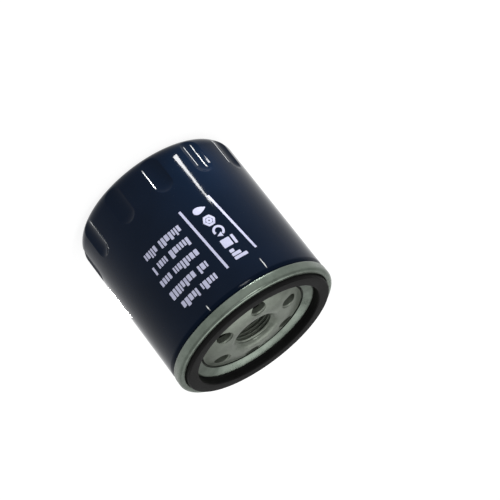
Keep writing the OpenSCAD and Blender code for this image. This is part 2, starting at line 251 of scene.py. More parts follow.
def makeStudio(made):
    scene.view_settings.view_transform = "Standard"
    makeSurroundings(made)
    half = made["floorSize"] / 2
    mesh = bpy.data.meshes.new("floor")
    corners = [(-half, -half, 0), (half, -half, 0), (half, half, 0), (-half, half, 0)]
    mesh.from_pydata(corners, [], [(0, 1, 2, 3)])
    floor = bpy.data.objects.new("floor", mesh)
    scene.collection.objects.link(floor)
    floor.data.materials.append(Finish("pale_floor", {
        "Base Color": made["floorColour"], "Roughness": 0.9, "Specular IOR Level": 0.0,
        "Emission Color": grey(1), "Emission Strength": made["floorGlow"]}).material)
    middle = (cadBox[0] + cadBox[1]) / 2
    for name, (azimuth, elevation, distance, size, watts) in made["lamps"].items():
        back = towards(azimuth, elevation)
        turn = back.to_track_quat("Z", "Y").to_euler()
        addLamp(name, "DISK", (size, size), watts, middle + back * distance, turn)
    for name, (start, end, width, watts) in made["strips"].items():
        along = Vector(end) - Vector(start)
        centre = (*((Vector(start) + Vector(end)) / 2), made["stripHeight"])
        turn = (math.pi, 0, math.atan2(along.x, -along.y))
        addLamp(name, "RECTANGLE", (width, along.length), watts, centre, turn)


# Outlines are lists of (radius, height) in millimetres
def arc(cx, cz, r, start, end, steps=8):
    angles = [math.radians(start + (end - start) * i / steps) for i in range(steps + 1)]
    return [(cx + r * math.cos(a), cz + r * math.sin(a)) for a in angles]


def sheetOutline(path, thickness):      # closed outline of a sheet that lies to the right of a path
    points = [Vector(p) for p in path]
    rights = []
    for i in range(len(points) - 1):
        way = (points[i + 1] - points[i]).normalized()
        rights.append(Vector((way.y, -way.x)))
    far = []
    for i, point in enumerate(points):
        both = rights[max(i - 1, 0)] + rights[min(i, len(rights) - 1)]
        far.append(tuple(point + both * (2 * thickness / both.dot(both))))
    return [tuple(p) for p in path] + far[::-1]


def evenTurns(count):
    return [2 * math.pi * i / count for i in range(count)]


def lathe(outline, turns, shape=None):      # turns an outline round the axis; shape may move each point
    points, rings, faces = [], [], []
    columns = len(turns)
    for row, (r, z) in enumerate(outline):
        count = 1 if r < 1e-6 else columns
        rings.append(range(len(points), len(points) + count))
        for angle in turns[:count]:
            radius, height = shape(r, z, angle, row) if shape else (r, z)
            points.append((radius * math.cos(angle) * mm, radius * math.sin(angle) * mm, height * mm))
    for lower, upper in zip(rings, rings[1:] + rings[:1]):
        for i in range(columns):
            j = (i + 1) % columns
            corners = [lower[i % len(lower)], lower[j % len(lower)]]
            corners += [upper[j % len(upper)], upper[i % len(upper)]]
            corners = list(dict.fromkeys(corners))      # a ring of one point gives triangles
            if len(corners) > 2:
                faces.append(corners)
    return points, faces


def addPiece(name, points, faces, material, body, replaced, sharp=35):
    mesh = bpy.data.meshes.new(name)
    mesh.from_pydata(points, [], faces)
    work = bmesh.new()
    work.from_mesh(mesh)
    bmesh.ops.remove_doubles(work, verts=work.verts, dist=1e-7)
    bmesh.ops.recalc_face_normals(work, faces=work.faces)
    work.to_mesh(mesh)
    work.free()
    piece = bpy.data.objects.new(name, mesh)
    scene.collection.objects.link(piece)
    dress(piece, material, sharp)
    place(piece, body, replaced)
    return piece


def dress(piece, material, sharp=35):
    mesh = piece.data
    mesh.materials.clear()
    mesh.materials.append(material)
    mesh.shade_smooth()
    mesh.set_sharp_from_angle(angle=math.radians(sharp))


def place(piece, body, replaced=()):
    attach(piece, body)
    if replaced:
        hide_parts(*replaced)


def smoothMax(value, width):    # value where it is above 0, else 0, with a rounded turn between
    share = min(max(0.5 + 0.5 * value / width, 0), 1)
    return value * share + width * share * (1 - share)


# The levels that the outer pieces share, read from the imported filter
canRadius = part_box("can")[1].x / mm
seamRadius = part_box("seam_lid")[1].x / mm
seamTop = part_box("seam_lid")[1].z / mm
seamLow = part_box("seam_lid")[0].z / mm
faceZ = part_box("mounting_gasket")[1].z / mm
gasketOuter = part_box("mounting_gasket")[1].x / mm
landZ = faceZ - 3.5                 # top of the lid's inner flange
sheetPlay = 0.05                    # gap between sheets that lie on each other
groovePlay = 0.1                    # gap between the gasket and the sides of its groove

lid = {
    "sheet": 0.6, "hole": 25.2, "tilt": 24, "grooveDrop": 2.5, "grooveCorner": 0.5,
    "bend": 0.8, "rim": 1.5, "hookDrop": 2.2,
}
gasket = {
    "inner": 30.05, "edge": 0.55, "foot": landZ - lid["grooveDrop"] + sheetPlay,
    "partingRidge": 0.06, "partingHalf": 0.15,
}
grooveIn = gasket["inner"] - groovePlay
grooveOut = gasketOuter + groovePlay

makeCamera(cameraView)
makeStudio(studio)
print("camera and studio ready")


# Finishes
paintedGlints = {      # painted highlights: bright bare-metal strokes on flute edges and shoulder that stand in for lamp glints: angle, lowest and highest mm
    "marks": (
        (-34.6, 4, 20), (-84.3, 6, 17), (-117.2, 5, 16), (-122.7, 5, 18), (-142.6, 4, 18),
        (-109.5, 66, 71.5), (-65.5, 69.5, 72.5),
        (23.8, 6, 19), (66.6, 3, 12), (113.4, 8, 20), (156.3, 5, 15), (176.2, 4, 17),
    ),
    "halfWidth": 0.24, "waver": 0.5, "soft": 0.10, "fade": 1.5,
}


def glintMask(finish):        # 1 on a painted highlight stroke, 0 on plain paint
    angle, height = finish.angle(), finish.height() / mm
    waver = (finish.noise(260, 3) - 0.5) * paintedGlints["waver"]
    total = None
    for degrees, low, high in paintedGlints["marks"]:
        across = abs((angle - math.radians(degrees)) * canRadius + waver)
        side = (paintedGlints["halfWidth"] - across) / paintedGlints["soft"]
        along = ((high - low) / 2 - abs(height - (high + low) / 2)) / paintedGlints["fade"]
        mark = side.math("MINIMUM", side, along)
        total = mark if total is None else mark.math("MAXIMUM", mark, total)
    patchy = finish.ramp(finish.noise(520, 4, roughness=0.7), [(0.34, 0), (0.46, 1)])
    return finish.clamped(total) * patchy


def paintFinish():      # dark blue stoving enamel with faint orange peel, dents and dust, and painted highlights as bare-metal strokes on flute edges and shoulder
    finish = Finish("gloss_can_paint", {"IOR": 1.17})
    cloud = finish.ramp(finish.noise(28, 3), [(0.35, 0), (0.65, 1)])
    navy = finish.blend(cloud, (0.0004, 0.0040, 0.0125, 1), (0.0014, 0.0060, 0.0175, 1))
    dust = finish.ramp(finish.noise(2600, 2, roughness=0.7), [(0.70, 0), (0.76, 1)])
    # painted highlights: bright metallic strokes placed where lamp glints fall on the flutes and shoulder
    glint = glintMask(finish)
    dusty = finish.blend(dust * 0.18, navy, (0.10, 0.11, 0.12, 1))
    finish.paint("Base Color", finish.blend(glint, dusty, (0.86, 0.88, 0.88, 1)))
    finish.paint("Metallic", glint)
    smudge = finish.ramp(finish.noise(60, 5, roughness=0.65), [(0.42, 0), (0.72, 1)])
    finish.paint("Roughness", smudge * 0.05 + dust * 0.2 + glint * 0.15 + 0.07)
    orangePeel = finish.noise(420, 2)
    dents = finish.noise(95, 2)
    draw = finish.noise(1, 2, finish.stretch((900, 900, 26)))
    finish.bump(orangePeel + dents * 2.2 + draw * 0.25, 0.000014)
    return finish.material


# joint is where a painted shade darkens the gap between two sheets: its radius and half width in mm
def platedFinish(name, light, dark, metal, rough, lines, stainDepth, joint):
    finish = Finish(name, {"Metallic": metal, "IOR": 1.4})
    radius, height = finish.radius(), finish.height()
    mottle = finish.ramp(finish.noise(170, 6, roughness=0.7), [(0.3, 0), (0.7, 1)])
    stain = finish.ramp(finish.noise(34, 4), [(0.4, 0), (0.75, 1)])
    ringLines = finish.node("ShaderNodeTexNoise", {"noise_dimensions": "1D"},
                            {"W": (radius + height) * lines, "Detail": 3})
    streaks = finish.noise(1, 4, finish.stretch((1900, 500, 700)), 0.75)
    scratch = finish.ramp(streaks, [(0.66, 0), (0.72, 1)])
    base = finish.blend(mottle, dark, light)
    outerFaceShade = finish.clamped(radius / mm - (seamRadius - 1)) * 0.6       # painted shade: the seam's outer face darker than its top
    faceShaded = finish.blend(outerFaceShade, base, tuple(0.4 * c for c in dark[:3]) + (1,))
    aged = finish.blend(stain * stainDepth, faceShaded, tuple(0.45 * c for c in dark[:3]) + (1,))
    # painted shade: a near-black ring in the gap where the lid's inner edge meets the plate
    jointShade = finish.clamped((joint[1] - abs(radius / mm - joint[0])) / 0.15)
    scratched = finish.blend(scratch * 0.35, aged, tuple(1.35 * c for c in light[:3]) + (1,))
    finish.paint("Base Color", finish.blend(jointShade * 0.9, scratched, (0.008, 0.009, 0.008, 1)))
    finish.paint("Roughness", mottle * 0.10 + stain * 0.10 + jointShade * 0.3 + (rough - 0.08))
    finish.bump(ringLines * 0.8 + mottle * 0.6 + scratch * 0.3, 0.00002)
    return finish.material


def rubberFinish(name, level, dustiness):
    finish = Finish(name, {"IOR": 1.12})
    grain = finish.noise(1500, 4, roughness=0.7)
    bloom = finish.ramp(finish.noise(90, 5, roughness=0.65), [(0.35, 0), (0.8, 1)])
    base = finish.blend(bloom, grey(level * 0.75), grey(level * 1.35))
    speck = finish.ramp(finish.noise(2300, 2, roughness=0.7), [(0.68, 0), (0.74, 1)])
    finish.paint("Base Color", finish.blend(speck * dustiness, base, (0.20, 0.20, 0.19, 1)))
    finish.paint("Roughness", grain * 0.2 + bloom * 0.16 + 0.30)
    finish.bump(grain, 0.00003)
    return finish.material


def inkFinish():
    finish = Finish("white_print_ink", {"IOR": 1.3})
    grain = finish.noise(1700, 4, roughness=0.7)
    worn = finish.ramp(finish.noise(260, 5, roughness=0.7), [(0.30, 1), (0.44, 0)])
    ink = finish.blend(grain, (0.34, 0.35, 0.50, 1), (0.50, 0.51, 0.64, 1))
    finish.paint("Base Color", finish.blend(worn * 0.5, ink, (0.16, 0.17, 0.32, 1)))
    finish.paint("Roughness", grain * 0.2 + 0.3)
    finish.bump(grain, 0.00001)
    return finish.material


def steelFinish(name, level, tint=(1, 1, 0.97)):   # tin-plated sheet, with the coil's rolling lines
    light = tuple(level * 1.15 * t for t in tint) + (1,)
    dark = tuple(level * 0.85 * t for t in tint) + (1,)
    finish = Finish(name, {"Metallic": 1.0})
    grain = finish.noise(1, 4, finish.stretch((240, 240, 2200)), 0.65)
    spangle = finish.node("ShaderNodeTexVoronoi", {}, {"Vector": finish.place(), "Scale": 420})
    oil = finish.ramp(finish.noise(70, 4), [(0.4, 0), (0.7, 1)])
    shade = finish.blend(spangle, dark, light)
    finish.paint("Base Color", finish.blend(oil * 0.3, shade, (level * 0.5, level * 0.45, level * 0.36, 1)))
    finish.paint("Roughness", grain * 0.2 + oil * 0.08 + 0.2)
    finish.bump(grain, 0.000012)
    return finish.material


def paperFinish():
    finish = Finish("pleated_filter_paper", {"IOR": 1.4})
    fibre = finish.noise(1, 6, finish.stretch((1900, 1900, 500)), 0.75)
    resin = finish.ramp(finish.noise(110, 4), [(0.35, 0), (0.75, 1)])
    crimp = finish.node("ShaderNodeTexWave", {"bands_direction": "Z"},
                        {"Vector": finish.place(), "Scale": 190, "Distortion": 0.4, "Detail": 1})
    sheet = finish.blend(fibre, (0.62, 0.47, 0.24, 1), (0.82, 0.69, 0.44, 1))
    finish.paint("Base Color", finish.blend(resin * 0.4, sheet, (0.52, 0.34, 0.13, 1)))
    finish.paint("Roughness", fibre * 0.2 + 0.68)
    finish.bump(fibre * 0.6 + crimp, 0.00012)
    return finish.material


def pottingFinish():
    finish = Finish("plastisol_potting", {"IOR": 1.45})
    bubble = finish.node("ShaderNodeTexVoronoi", {}, {"Vector": finish.place(), "Scale": 900})
    swirl = finish.noise(140, 5)
    pits = finish.ramp(bubble, [(0.05, 0), (0.2, 1)])
    finish.paint("Base Color", finish.blend(swirl, (0.30, 0.07, 0.04, 1), (0.46, 0.14, 0.08, 1)))
    finish.paint("Roughness", swirl * 0.2 + 0.28)
    finish.bump(pits + swirl * 0.5, 0.00008)
    return finish.material


def wireFinish():
    finish = Finish("oiled_spring_steel", {"Metallic": 1.0})
    drawn = finish.noise(1, 4, finish.stretch((900, 900, 4200)), 0.7)
    blueing = finish.ramp(finish.noise(120, 3), [(0.35, 0), (0.7, 1)])
    finish.paint("Base Color", finish.blend(blueing, (0.30, 0.28, 0.25, 1), (0.20, 0.23, 0.30, 1)))
    finish.paint("Roughness", drawn * 0.22 + 0.2)
    finish.bump(drawn, 0.000012)
    return finish.material


canPaint = paintFinish()
lidPlating = platedFinish("zinc_plated_lid", (0.30, 0.35, 0.30, 1), (0.16, 0.195, 0.16, 1),
                          0.85, 0.32, 5200, 0.6, (25.2, 0.28))
plateSteel = platedFinish("tapping_plate_steel", (0.25, 0.28, 0.235, 1), (0.15, 0.17, 0.14, 1),
                          0.55, 0.36, 3600, 0.4, (24.85, 0.5))
gasketRubber = rubberFinish("gasket_rubber", 0.010, 0.10)
valveRubber = rubberFinish("valve_rubber", 0.012, 0.05)
whiteInk = inkFinish()
tinSteel = steelFinish("tinned_pressed_steel", 0.62)
darkSteel = steelFinish("valve_steel", 0.5, (1, 0.98, 0.9))
filterPaper = paperFinish()
potting = pottingFinish()
springWire = wireFinish()
seamCompound = rubberFinish("seam_compound", 0.35, 0.0)
print("finishes ready")


# The can: one drawn shell with pressed flutes, a recessed closed end and the hook inside the seam
can = {
    "sheet": 0.5, "corner": 7.0, "recessRadius": 20.0, "recessDepth": 1.2, "recessEdge": 2.0,
    "flutes": 12, "fluteDepth": 1.3, "fluteTool": 7.5, "fluteTop": 20.5, "fluteEdge": 0.16,
    "fluteColumns": 13, "wallColumns": 11, "crowding": 2.3, "flutedStep": 0.3, "plainStep": 6,
    "shoulder": landZ - 5.5, "neckHeight": landZ - 2.2, "neck": grooveOut + lid["sheet"] + sheetPlay,
    "hookRise": 1.2,
}
fluteTip = can["fluteTop"] - math.sqrt(can["fluteTool"] ** 2 - (can["fluteTool"] - can["fluteDepth"]) ** 2)


def fluteReach(angle, z):      # how deep the flutes press the wall here
    r, depth = can["fluteTool"], can["fluteDepth"]
    pitch = 2 * math.pi / can["flutes"]
    across = ((angle + pitch / 2) % pitch - pitch / 2) * canRadius
    away = math.hypot(across, max(z - fluteTip, 0))
    if away > r:
        return -r
    return depth - r + math.sqrt(r * r - away * away)


def fluteTurns():       # columns that crowd together at the flutes' edges
    half = math.pi / can["flutes"]
    edge = (can["fluteTop"] - fluteTip) / canRadius
    near, far = can["fluteColumns"], can["wallColumns"]
    inFlute = [edge * (1 - (1 - i / near) ** 2) for i in range(near + 1)]
    between = [edge + (half - edge) * (i / far) ** can["crowding"] for i in range(1, far + 1)]
    steps = inFlute + between
    turns = []
    for i in range(can["flutes"]):
        centre = 2 * half * i
        turns += [centre - a for a in steps[:0:-1]] + [centre + a for a in steps[:-1]]
    return turns


def canOutline():       # the outer face from the middle of the closed end to the hook, then the inner face
    t, low = can["sheet"], can["recessDepth"]
    inner, edge = can["recessRadius"] - can["recessEdge"] / 2, can["recessEdge"]
    slope = [(inner + edge * i / 8, low * (1 + math.cos(math.pi * i / 8)) / 2) for i in range(9)]
    rest = canRadius - can["corner"]
    corner = arc(rest, can["corner"], can["corner"], -90, 0, 26)
    fluteEnd = can["fluteTop"] + 1
    fluted = fluteEnd - can["corner"]
    steps = int(fluted / can["flutedStep"])
    wall = [(canRadius, can["corner"] + fluted * i / steps) for i in range(1, steps + 1)]
    wall += [(canRadius, z) for z in range(int(fluteEnd) + 4, int(can["shoulder"]), can["plainStep"])]
    neckOut = can["neck"] + t
    rise = can["neckHeight"] - can["shoulder"]
    shoulder = [(neckOut + (canRadius - neckOut) * (1 + math.cos(math.pi * i / 16)) / 2,
                 can["shoulder"] + rise * i / 16) for i in range(17)]
    foldTop = seamTop - lid["sheet"] - sheetPlay
    hookOut = can["neck"] + t + sheetPlay + lid["sheet"] + sheetPlay
    foldRadius = (hookOut - can["neck"] + t) / 2
    middle = hookOut + t - foldRadius
    fold = arc(middle, foldTop - foldRadius, foldRadius - t, 180, 0, 10)
    hookEnd = seamLow + can["hookRise"]
    hook = [(hookOut, hookEnd), (hookOut + t, hookEnd)]
    foldBack = arc(middle, foldTop - foldRadius, foldRadius, 0, 180, 10)
    outer = [(0, low), (inner * 0.5, low)] + slope + corner + wall + shoulder + fold + hook + foldBack
    inside = [(r - t, z) for r, z in shoulder[::-2] + wall[::-6]]
    inside += arc(rest, can["corner"], can["corner"] - t, 0, -90, 12)
    inside += [(r, z + t) for r, z in slope[::-1]] + [(inner * 0.5, low + t), (0, low + t)]
    return outer, inside


def makeCan():
    outer, inside = canOutline()

    def shape(r, z, angle, row):
        thickness = 0 if row < len(outer) else can["sheet"]
        reach = fluteReach(angle, z) - (canRadius - r - thickness)
        return r - smoothMax(reach, can["fluteEdge"]), z

    points, faces = lathe(outer + inside, fluteTurns(), shape)
    addPiece("can_shell", points, faces, canPaint, "housing", ["can"], 50)


makeCan()
print("can pressed")


# The lid: gasket groove and double seam, turned from one sheet
def makeLid():
    t, bend, tilt = lid["sheet"], lid["bend"], lid["tilt"]
    corner, rim = lid["grooveCorner"], lid["rim"]
    floor = landZ - lid["grooveDrop"]
    top = arc(grooveIn - bend, landZ - bend, bend, 90 + tilt, 0)
    slope = math.tan(math.radians(tilt))
    start = (lid["hole"], top[0][1] - (top[0][0] - lid["hole"]) * slope)
    hookIn = grooveOut + t + sheetPlay + can["sheet"] + sheetPlay
    foldRadius = (seamRadius - hookIn) / 2
    path = [start] + top
    path += arc(grooveIn + corner, floor + corner, corner, 180, 270, 6)
    path += arc(grooveOut - corner, floor + corner, corner, 270, 360, 6)
    path += arc(grooveOut + bend, seamTop - bend, bend, 180, 90, 10)
    path += arc(seamRadius - rim, seamTop - rim, rim, 90, 0, 14)
    path += arc(seamRadius - foldRadius, seamLow + foldRadius, foldRadius, 0, -180, 14)
    path += [(hookIn, seamTop - lid["hookDrop"])]
    points, faces = lathe(sheetOutline(path, t), evenTurns(288))
    addPiece("seam_ring_lid", points, faces, lidPlating, "housing", ["seam_lid"], 50)


makeLid()
print("lid seamed")


# The gasket: square-cut ring with rounded edges and a mould parting line
def makeGasket():
    e, low, ridge, inner = gasket["edge"], gasket["foot"], gasket["partingRidge"], gasket["inner"]
    middle = (low + faceZ) / 2
    under, over = middle - gasket["partingHalf"], middle + gasket["partingHalf"]
    outline = arc(inner + e, low + e, e, 180, 270, 5)
    outline += arc(gasketOuter - e, low + e, e, 270, 360, 5)
    outline += [(gasketOuter - ridge, under), (gasketOuter, middle), (gasketOuter - ridge, over)]
    outline += arc(gasketOuter - e, faceZ - e, e, 0, 90, 8)
    outline += arc(inner + e, faceZ - e, e, 90, 180, 8)
    outline += [(inner, over), (inner + ridge, middle), (inner, under)]
    points, faces = lathe(outline, evenTurns(256))
    addPiece("mounting_gasket_ring", points, faces, gasketRubber, "housing",
             ["mounting_gasket"], 60)


makeGasket()
print("gasket moulded")


# The tapping plate: domed, with a cut thread and punched inlets
plate = {
    "thickness": 3.0, "threadMinor": 8.7, "threadMajor": 9.525, "pitch": 1.5875,
    "mouth": 9.5, "mouthZ": landZ - 0.5, "crownRadius": 12.4, "crownZ": landZ + 1.1,
    "collar": 11.4, "collarLow": landZ - 10.5, "collarFillet": 0.8, "chamfer": 0.8,
    "footRadius": 24.2, "footRound": 0.6, "domeFall": 2.1,
    "rimIn": 25.1, "rimTurn": 28.72, "rim": 29.2, "valveSeat": (24.6, 27.4),
    "inlets": 6, "inletRadius": 3.3, "inletCircle": 18.5, "inletTurn": 20, "inletEdge": 0.45,
    "punchLow": landZ - 8, "punchTop": landZ + 6,
}


def flangeAt(r):        # top of the lid's sloping flange
    turn = math.radians(lid["tilt"])
    start = grooveIn - lid["bend"] * (1 + math.sin(turn))
    return landZ - lid["bend"] * (1 - math.cos(turn)) - (start - r) * math.tan(turn)


def rimAt(r):           # top of the plate's rim, just under that flange
    return flangeAt(r) - lid["sheet"] / math.cos(math.radians(lid["tilt"])) - sheetPlay


plate["footZ"] = flangeAt(lid["hole"]) - sheetPlay


def domeAt(r):
    share = (r - plate["crownRadius"]) / (plate["footRadius"] - plate["crownRadius"])
    return plate["crownZ"] - (plate["crownZ"] - plate["footZ"]) * max(share, 0) ** plate["domeFall"]


def cutThread(r, z, angle, row):
    low, high = plate["collarLow"] + 0.01, plate["mouthZ"] + 0.6
    if r > plate["mouth"] + 0.2 or not low < z < high:
        return r, z
    phase = (z / plate["pitch"] - angle / (2 * math.pi)) % 1
    flank, root = 5 / 16, 1 / 8         # shares of the pitch: two flanks, the root, and the crest
    depth = plate["threadMajor"] - plate["threadMinor"]
    away = abs(phase - 0.5) - root / 2
    cut = depth * min(max(1 - away / flank, 0), 1)
    return max(r, plate["threadMinor"] + cut), z


def plateOutline():
    p = plate
    across, fall = p["crownRadius"] - p["mouth"], p["crownZ"] - p["mouthZ"]
    turn = (across * across + fall * fall) / (2 * fall)
    start = 180 - math.degrees(math.acos(across / turn))
    crown = arc(p["crownRadius"], p["crownZ"] - turn, turn, start, 90, 8)
    steps = 14
    span = p["footRadius"] - p["crownRadius"]
    radii = [p["crownRadius"] + span * i / steps for i in range(1, steps + 1)]
    dome = [(r, domeAt(r)) for r in radii]
    e = p["footRound"]
    edge = arc(p["footRadius"] + 0.05, p["footZ"] - e, e, 70, 0, 5)
    rimZ = rimAt(p["rimTurn"])
    edge += [(p["rimIn"], rimAt(p["rimIn"])), (p["rimTurn"], rimZ)]
    edge += [(p["rim"], rimZ), (p["rim"], rimZ - p["thickness"])]
    seat = rimAt(p["rimIn"]) - p["thickness"]
    under = [(p["valveSeat"][1], seat), (p["valveSeat"][0], seat)]
    under += [(r, domeAt(r) - p["thickness"]) for r in radii[-3::-2]]
    fillet, crownLow = p["collarFillet"], p["crownZ"] - p["thickness"]
    under += [(p["collar"] + fillet, crownLow - fillet / 4), (p["collar"], crownLow - fillet)]
    foot = [(p["collar"], p["collarLow"]), (p["mouth"], p["collarLow"])]
    rows = int((p["mouthZ"] - p["collarLow"]) / (p["pitch"] / 20))
    bore = []
    for i in range(rows + 1):
        z = p["collarLow"] + (p["mouthZ"] - p["collarLow"]) * i / rows
        cone = max(p["chamfer"] - (z - p["collarLow"]), p["chamfer"] - (p["mouthZ"] - z), 0)
        bore.append((p["threadMinor"] + cone * (p["mouth"] - p["threadMinor"]) / p["chamfer"], z))
    return bore[1:-1] + crown + dome + edge + under + foot


def inletCutter(angle):     # a punch whose shank flares at the plate's face, which rounds the hole's edge
    r, e = plate["inletRadius"], plate["inletEdge"]
    x = plate["inletCircle"]
    topZ = domeAt(x)
    low, top, flare = plate["punchLow"], plate["punchTop"], r + e * 1.3
    outline = [(0, low), (r, low)] + arc(r + e, topZ - e, e, 180, 100, 5)
    outline += [(flare, topZ + 0.25), (flare, top), (0, top)]
    points, faces = lathe(outline, evenTurns(56))
    shift = Vector((x * math.cos(angle), x * math.sin(angle), 0)) * mm
    mesh = bpy.data.meshes.new("inlet_punch")
    mesh.from_pydata([Vector(p) + shift for p in points], [], faces)
    work = bmesh.new()
    work.from_mesh(mesh)
    bmesh.ops.recalc_face_normals(work, faces=work.faces)
    work.to_mesh(mesh)
    work.free()
    punch = bpy.data.objects.new("inlet_punch", mesh)
    scene.collection.objects.link(punch)
    return punch


def punchOut(piece, punches):
    bpy.context.view_layer.objects.active = piece
    for punch in punches:
        cut = piece.modifiers.new("punch", "BOOLEAN")
        cut.operation, cut.solver, cut.object = "DIFFERENCE", "EXACT", punch
        with bpy.context.temp_override(object=piece, active_object=piece, selected_objects=[piece]):
            bpy.ops.object.modifier_apply(modifier=cut.name)
        bpy.data.objects.remove(punch)


def makePlate():
    points, faces = lathe(plateOutline(), evenTurns(216), cutThread)
    piece = addPiece("threaded_tapping_plate", points, faces, plateSteel, "housing",
                     ["tapping_plate"], 40)
    turns = [math.radians(plate["inletTurn"] + 360 * i / plate["inlets"]) for i in range(plate["inlets"])]
    punchOut(piece, [inletCutter(a) for a in turns])
    dress(piece, plateSteel, 40)


makePlate()
print("plate tapped and punched")


# White print on the can: two border lines, a column of plain signs between them, and rows of blank bars
printing = {
    "height": 0.045, "sunk": 0.012, "stroke": 1.0, "facet": 0.6,
    "lineWidth": 1.1, "lines": ((-108.0, 31, -112.4, 61), (-87.0, 31, -89.7, 63)),
    "signTurn": -97.6, "signLean": -3.6, "signFirst": 35.0, "signStep": 6.1, "signScale": 1.12,
    "rowAngle": -81.5, "rowEnd": -49, "rows": (37, 43.5, 50, 56.5, 63), "rowHeight": 3.8,
    "barWidths": (0.8, 1.0, 1.3, 1.7), "barGap": 0.42, "wordGap": 1.5,
}


def wrapped(x, z, lift):        # x is the arc length round the can
    angle = x / canRadius
    radius = canRadius - printing["sunk"] + lift
    return (radius * math.cos(angle) * mm, radius * math.sin(angle) * mm, z * mm)


def refined(path, closed):      # the same path with short steps, so that it follows the can's curve
    fine = []
    for start, end in zip(path, path[1:] + (path[:1] if closed else [])):
        parts = max(1, math.ceil(math.dist(start, end) / printing["facet"]))
        fine += [tuple(Vector(start).lerp(Vector(end), i / parts)) for i in range(parts)]
    return fine if closed else fine + [path[-1]]


def patch(shape, rings=3):      # a filled shape as a thin slab: rings round its middle, and a wall
    outline = refined(shape, True)
    n = len(outline)
    middle = Vector([sum(p[k] for p in shape) / len(shape) for k in range(2)])
    points, faces = [], []
    for lift in (printing["height"], 0):
        for k in range(rings, 0, -1):
            points += [wrapped(*middle.lerp(Vector(p), k / rings), lift) for p in outline]
        points.append(wrapped(*middle, lift))
    under = rings * n + 1
    for i in range(n):
        j = (i + 1) % n
        for base in (0, under):
            for k in range(rings - 1):
                a, b = base + k * n, base + (k + 1) * n
                faces.append([a + i, a + j, b + j, b + i])
            last = base + (rings - 1) * n
            faces.append([last + i, last + j, base + rings * n])
        faces.append([i, under + i, under + j, j])
    return points, faces


def stroke(shape, width, closed=False):     # a band of even width along a path
    path = refined(shape, closed)
    n, up = len(path), printing["height"]
    points, faces = [], []
    for i, p in enumerate(path):
        before = path[i - 1] if closed or i else p
        after = path[(i + 1) % n] if closed or i < n - 1 else p
        way = (Vector(after) - Vector(before)).normalized()
        side = Vector((way.y, -way.x)) * width / 2
        for edge, lift in ((-side, 0), (side, 0), (side, up), (-side, up)):
            points.append(wrapped(p[0] + edge.x, p[1] + edge.y, lift))
    for i in range(n if closed else n - 1):
        a, b = 4 * i, 4 * ((i + 1) % n)
        faces += [[a + k, a + (k + 1) % 4, b + (k + 1) % 4, b + k] for k in range(4)]
    if not closed:
        faces += [[0, 1, 2, 3], [4 * n - 1, 4 * n - 2, 4 * n - 3, 4 * n - 4]]
    return points, faces


def addPrint(name, parts):
    points, faces = [], []
    for partPoints, partFaces in parts:
        faces += [[len(points) + i for i in face] for face in partFaces]
        points += partPoints
    addPiece(name, points, faces, whiteInk, "housing", [], 40)


def bar(x0, z0, x1, z1, corner=0.25):
    r = min(corner, (x1 - x0) / 2.01, (z1 - z0) / 2.01)
    return (arc(x1 - r, z0 + r, r, -90, 0, 3) + arc(x1 - r, z1 - r, r, 0, 90, 3)
            + arc(x0 + r, z1 - r, r, 90, 180, 3) + arc(x0 + r, z0 + r, r, 180, 270, 3))


def slanted(line):
    a0, z0, a1, z1 = line
    return [(math.radians(a0) * canRadius, z0), (math.radians(a1) * canRadius, z1)]


def ringPath(r, steps):
    return arc(0, 0, r, 0, 360, steps)[:-1]


def dropOutline(steps=28):      # an oil drop, tip up
    turns = [2 * math.pi * i / steps for i in range(steps)]
    return [(1.9 * math.sin(t) * math.sin(t / 2), 2.6 * math.cos(t)) for t in turns]


def signs():    # each sign's patches and strokes, in mm from its middle, top towards +y
    nut = [(2.0 * math.sin(math.pi * i / 3), 2.0 * math.cos(math.pi * i / 3)) for i in range(6)]
    head = [(2.6, 0.3), (0.6, 0.3), (1.6, -1.7)]
    levels = [bar(-2.3 + 1.65 * i, -2.7, -1.0 + 1.65 * i, -0.9 + 1.8 * i) for i in range(3)]
    return [
        ([dropOutline()], []),
        ([], [(nut, True), (ringPath(0.75, 14), True)]),
        ([head], [(arc(-0.2, 0, 1.8, 20, 290, 20), False)]),
        ([bar(-1.8, -2.8, 1.8, 1.0), bar(-2.0, 1.7, 2.0, 2.8)], []),
        (levels, []),
    ]


def makePrint():
    p = printing
    addPrint("print_border_lines", [stroke(slanted(line), p["lineWidth"]) for line in p["lines"]])
    parts = []
    for i, (patches, strokes) in enumerate(signs()):
        z0 = p["signFirst"] + p["signStep"] * i
        x0 = math.radians(p["signTurn"] + p["signLean"] * i / 4) * canRadius

        def turned(outline):    # a sign's top points round the can, towards the first border line
            return [(x0 - y * p["signScale"], z0 + x * p["signScale"]) for x, y in outline]

        parts += [patch(turned(outline)) for outline in patches]
        parts += [stroke(turned(path), p["stroke"], closed) for path, closed in strokes]
    addPrint("print_plain_signs", parts)
    bars = []
    start, end = (math.radians(p[k]) * canRadius for k in ("rowAngle", "rowEnd"))
    for row in p["rows"]:
        x, low = start, row - p["rowHeight"] / 2
        while x < end:
            for _ in range(random.randint(3, 8)):
                width, tall = random.choice(p["barWidths"]), random.choice((1, 0.74, 0.74))
                if x + width > end:
                    break
                bars.append(patch(bar(x, low, x + width, low + p["rowHeight"] * tall)))
                x += width + p["barGap"]
            x += p["wordGap"]
    addPrint("print_blank_rows", bars)


makePrint()
print("can printed")


# The filter paper: one band, folded into pleats with round folds
paper = {"pleats": 52, "sheet": 0.6, "fold": 0.6, "foldSteps": 6, "rows": 12}


